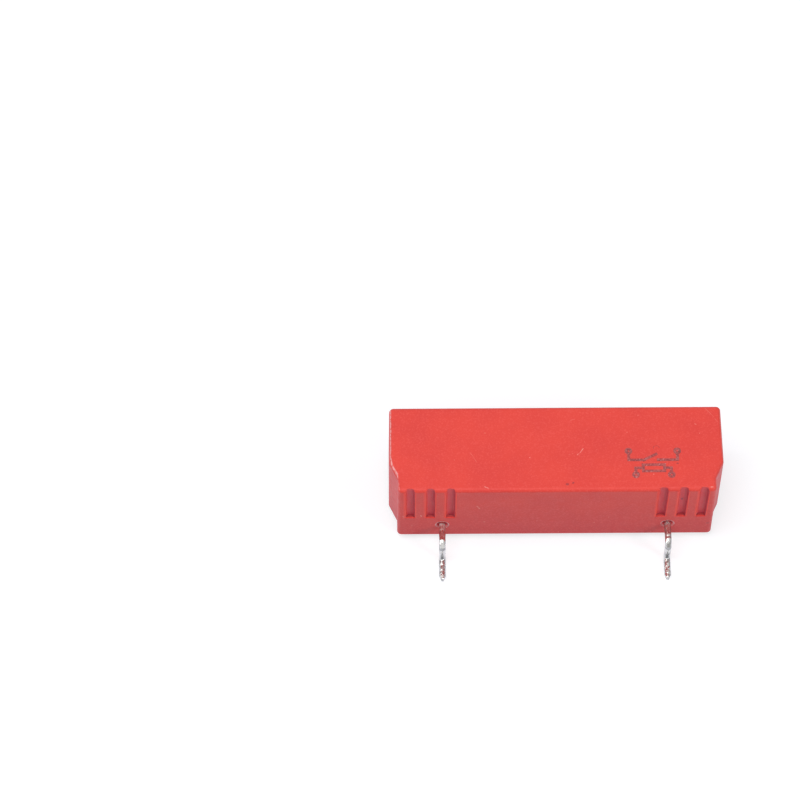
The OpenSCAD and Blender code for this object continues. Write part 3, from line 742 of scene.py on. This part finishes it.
def mark_slab(bm, a, b, top):
    """Flat bar from a to b, in the face's plane, a hair proud of the face."""
    width = MARK_LINE * MM
    a, b = Vector(a) * MM, Vector(b) * MM
    along = (b - a).normalized()
    side = Vector((-along.y, along.x)) * width / 2
    start, end = a - along * width / 2, b + along * width / 2
    corners = [start - side, end - side, end + side, start + side]
    low = [bm.verts.new((p.x, p.y, top - MARK_PROUD * MM)) for p in corners]
    high = [bm.verts.new((p.x, p.y, top + MARK_PROUD * MM)) for p in corners]
    bm.faces.new(low[::-1])
    bm.faces.new(high)
    join_loops(bm, low, high)


def circle(bm, x, y, z, radius):
    """Closed loop of points; z is in metres, as it comes from the frame."""
    turns = [2 * math.pi * i / RING_STEPS for i in range(RING_STEPS)]
    return [bm.verts.new((x * MM + radius * MM * math.cos(t), y * MM + radius * MM * math.sin(t), z))
            for t in turns]


def mark_ring(bm, x, y, top):
    """Flat ring, as thick as the bars."""
    low, high = top - MARK_PROUD * MM, top + MARK_PROUD * MM
    corners = ((RING_OUTER, low), (RING_OUTER, high), (RING_INNER, high), (RING_INNER, low))
    loops = [circle(bm, x, y, z, radius) for radius, z in corners]
    for first, second in zip(loops, loops[1:] + loops[:1]):
        join_loops(bm, first, second)


def merge_overlaps(obj, inside):
    """Turns bars and rings that overlap into one closed surface, by a union with a speck inside a bar."""
    place = Matrix.Translation(inside)
    tool = add_object("tool", build_mesh(
        "tool", lambda bm: bmesh.ops.create_cube(bm, size=MARK_PROUD * MM, matrix=place)))
    union = obj.modifiers.new("merge", "BOOLEAN")
    union.operation = "UNION"
    union.solver = "EXACT"
    union.use_self = True
    union.object = tool
    depsgraph = bpy.context.evaluated_depsgraph_get()
    merged = bpy.data.meshes.new_from_object(obj.evaluated_get(depsgraph))
    obj.modifiers.clear()
    obj.data = merged
    bpy.data.objects.remove(tool)


def make_symbol(material):
    """Switch above a coil, each between two pins."""
    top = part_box("housing")[1].z
    coil_middle = sum(COIL_Y) / 2

    def build(bm):
        for x in SWITCH_PIN_X:
            mark_ring(bm, x, SWITCH_PIN_Y, top)
            mark_slab(bm, (x, SWITCH_PIN_Y - RING_OUTER), (x, SWITCH_LINE_Y), top)
        mark_slab(bm, (SWITCH_PIN_X[0], SWITCH_LINE_Y), (SWITCH_LEFT_END_X, SWITCH_LINE_Y), top)
        mark_slab(bm, (SWITCH_LEFT_END_X, SWITCH_LINE_Y), BLADE_TIP, top)
        mark_slab(bm, (SWITCH_RIGHT_END_X, SWITCH_LINE_Y), (SWITCH_PIN_X[1], SWITCH_LINE_Y), top)
        for y in COIL_Y:
            mark_slab(bm, (COIL_X[0], y), (COIL_X[1], y), top)
        for x in COIL_X:
            mark_slab(bm, (x, COIL_Y[0]), (x, COIL_Y[1]), top)
        for x, edge in zip(COIL_PIN_X, COIL_X):
            mark_ring(bm, x, COIL_PIN_Y, top)
            mark_slab(bm, (x, COIL_PIN_Y + RING_OUTER), (x, coil_middle), top)
            mark_slab(bm, (x, coil_middle), (edge, coil_middle), top)

    symbol = piece("circuit_symbol", build, material)
    merge_overlaps(symbol, Vector((SWITCH_PIN_X[0] * MM, SWITCH_LINE_Y * MM, top)))


# Cured drops: place x, y, radii along x and y, height, and whether the drop has a grey skin
DROPS = [
    (6.62, -3.50, 0.30, 0.28, 0.22, True),
    (7.26, -3.22, 0.17, 0.15, 0.12, True),
    (6.58, 3.42, 0.36, 0.34, 0.26, True),
    (7.10, 3.10, 0.38, 0.28, 0.14, False),
    (-7.66, 3.16, 0.38, 0.36, 0.26, True),
    (-6.90, 3.12, 0.32, 0.24, 0.12, False),
    (-8.52, 3.38, 0.14, 0.12, 0.10, True),
    (-6.62, -3.34, 0.15, 0.14, 0.12, True),
    (-7.95, -3.18, 0.40, 0.15, 0.12, True),
    (13.10, 3.36, 0.13, 0.12, 0.10, True),
    (13.42, -2.10, 0.12, 0.14, 0.09, True),
    (13.44, -1.58, 0.13, 0.16, 0.09, True),
]
DROP_STEPS = 20
DROP_LAYERS = 7
DROP_FLARE = 0.22
# Sizes of the two waves that make a drop's outline uneven
DROP_LOBES = (0.07, 0.04)
# How deep drops and edge reach into the resin
RESIN_SINK = 0.03


def resin_drop(bm, x, y, radius_x, radius_y, height):
    """Lump that flares out where it wets the resin below it, and isn't quite round."""
    base_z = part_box("potting")[0].z
    loops = []
    for k in range(DROP_LAYERS):
        share = k / DROP_LAYERS
        flare = math.cos(share * math.pi / 2) * (1 + DROP_FLARE * (1 - share) ** 5)
        z = base_z + RESIN_SINK * MM if k == 0 else base_z - height * MM * math.sin(share * math.pi / 2)
        loop = []
        for i in range(DROP_STEPS):
            turn = 2 * math.pi * i / DROP_STEPS
            lobe = 1 + DROP_LOBES[0] * math.sin(2 * turn + x) + DROP_LOBES[1] * math.sin(3 * turn + 2 * y)
            loop.append(bm.verts.new(((x + radius_x * flare * lobe * math.cos(turn)) * MM,
                                      (y + radius_y * flare * lobe * math.sin(turn)) * MM, z)))
        loops.append(loop)
    tip = bm.verts.new((x * MM, y * MM, base_z - height * MM))
    bm.faces.new(loops[0])
    for wide, narrow in zip(loops, loops[1:]):
        join_loops(bm, narrow, wide)
    last = loops[-1]
    for i in range(DROP_STEPS):
        bm.faces.new((last[(i + 1) % DROP_STEPS], last[i], tip))
    for face in bm.faces:
        face.smooth = True


# Resin that has crept up the end wall: its stretch in Y, greatest and least width, and rise
FILLET_Y = (-1.20, 3.35)
FILLET_REACH = 0.58
FILLET_LEAST = 0.02
FILLET_RISE = 0.15
FILLET_STEPS = 56
# How far its widest place is past the middle, and how blunt its ends are
FILLET_SKEW = 1.2
FILLET_BLUNT = 0.8
# Rate and size of the waves in its outline, and its section: share of the width and share of the rise
FILLET_WAVES = ((9, 0.10), (23, 0.07), (61, 0.05))
FILLET_SECTION = ((0, 1), (0.25, 0.52), (0.6, 0.16), (1, 0.02))


def end_fillet(bm):
    """Sliver of resin that has crept up the +X end wall, widest past its middle."""
    base_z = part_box("potting")[0].z
    wall_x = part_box("potting")[1].x
    sunk = base_z + RESIN_SINK * MM
    loops = []
    for k in range(FILLET_STEPS + 1):
        share = k / FILLET_STEPS
        y = (FILLET_Y[0] + share * (FILLET_Y[1] - FILLET_Y[0])) * MM
        wave = 1 + sum(size * math.sin(rate * share) for rate, size in FILLET_WAVES)
        full = FILLET_REACH * math.sin(math.pi * share ** FILLET_SKEW) ** FILLET_BLUNT
        width = max(FILLET_LEAST, full * wave) * MM
        rise = FILLET_RISE * width / FILLET_REACH
        section = [(inward * width, base_z - up * rise) for inward, up in FILLET_SECTION]
        outline = [(0, sunk), *section, (width, sunk)]
        loops.append([bm.verts.new((wall_x - inward, y, z)) for inward, z in outline])
    for first, second in zip(loops, loops[1:]):
        join_loops(bm, first, second)
    bm.faces.new(loops[0][::-1])
    bm.faces.new(loops[-1])


def make_resin_details(potting):
    skin = drop_skin()
    for i, (*sizes, grey) in enumerate(DROPS):
        piece(f"resin_drop_{i + 1}", lambda bm: resin_drop(bm, *sizes),
              skin if grey else potting)
    piece("resin_fillet", end_fillet, fillet_skin())


# Floor, world and lamps. Gloss and glass see the floor's white a little cooler than the camera does
WHITE = colour(1.0, 1.0, 1.0)
COOL_WHITE = colour(0.96, 1.0, 1.08)
FLOOR_GREY = colour(0.42, 0.43, 0.45)
FLOOR_GLOW = 0.64
FLOOR_HALF = 2.0
SKY_TINT = colour(0.94, 0.98, 1.06)
SKY_STRENGTH = 0.40
# Heights of view between which the world, as gloss and glass see it, turns from dim to white
HORIZON = (0.20, 0.50)
HORIZON_DIM = 0.12
LAMP_AIM = (0, 0, 0.004)
# Name, place, side, watts and tint
LAMPS = [
    ("top_lamp", (-0.10, -0.06, 0.40), 0.30, 0.88, (1.0, 0.985, 0.95)),
    ("front_lamp", (0.46, -0.32, 0.36), 0.20, 1.25, (1.0, 0.99, 0.97)),
    ("left_lamp", (-0.50, -0.05, 0.20), 0.30, 0.60, (1.0, 0.96, 0.95)),
]


def seen_white(g, rays):
    """1 for rays from the camera, off gloss and through glass, to which the surroundings look white."""
    return g.math("MAXIMUM", rays["Is Camera Ray"],
                  g.math("MAXIMUM", rays["Is Glossy Ray"], rays["Is Transmission Ray"]))


def make_floor():
    """Plain floor that looks white, lights the relay as a grey one would, and takes its shadow."""
    g = material_graph("floor")
    rays = g.add("ShaderNodeLightPath").outputs
    grey = g.add("ShaderNodeBsdfDiffuse", {"Color": FLOOR_GREY}).outputs[0]
    tint = g.mix(rays["Is Camera Ray"], COOL_WHITE, WHITE)
    glow = g.add("ShaderNodeEmission", {"Color": tint, "Strength": FLOOR_GLOW}).outputs[0]
    white = g.add("ShaderNodeAddShader", {0: grey, 1: glow}).outputs[0]
    g.surface(g.mix_shader(seen_white(g, rays), grey, white))

    def grid(bm):
        bmesh.ops.create_grid(bm, x_segments=1, y_segments=1, size=FLOOR_HALF)

    floor = add_object("floor", build_mesh("floor", grid))
    floor.data.materials.append(g.owner)


def make_world():
    """World that lights the relay softly and evenly, and looks white."""
    world = bpy.data.worlds.new("world")
    bpy.context.scene.world = world
    g = Graph(world, "ShaderNodeOutputWorld")
    rays = g.add("ShaderNodeLightPath").outputs
    height = g.axes(g.add("ShaderNodeTexCoord").outputs["Generated"])["Z"]
    level = g.math("MAXIMUM", rays["Is Camera Ray"], g.ramp(height, *HORIZON, HORIZON_DIM, 1.0))
    soft = g.add("ShaderNodeBackground", {"Color": SKY_TINT, "Strength": SKY_STRENGTH}).outputs[0]
    white = g.add("ShaderNodeBackground", {"Color": WHITE, "Strength": level}).outputs[0]
    g.surface(g.mix_shader(seen_white(g, rays), soft, white))


def make_lamp(name, at, side, watts, tint):
    """Square lamp that shines at the relay."""
    data = bpy.data.lights.new(name, "AREA")
    data.shape = "SQUARE"
    data.size = side
    data.energy = watts
    data.color = tint
    lamp = add_object(name, data)
    lamp.location = at
    lamp.rotation_euler = look_at(at, LAMP_AIM).to_euler()


def main():
    make_camera()
    materials = make_materials()
    dress_nodes(materials)
    make_symbol(laser_mark())
    make_resin_details(materials["potting_resin"])
    make_floor()
    make_world()
    for lamp in LAMPS:
        make_lamp(*lamp)
    bpy.context.scene.view_settings.view_transform = "Standard"


main()
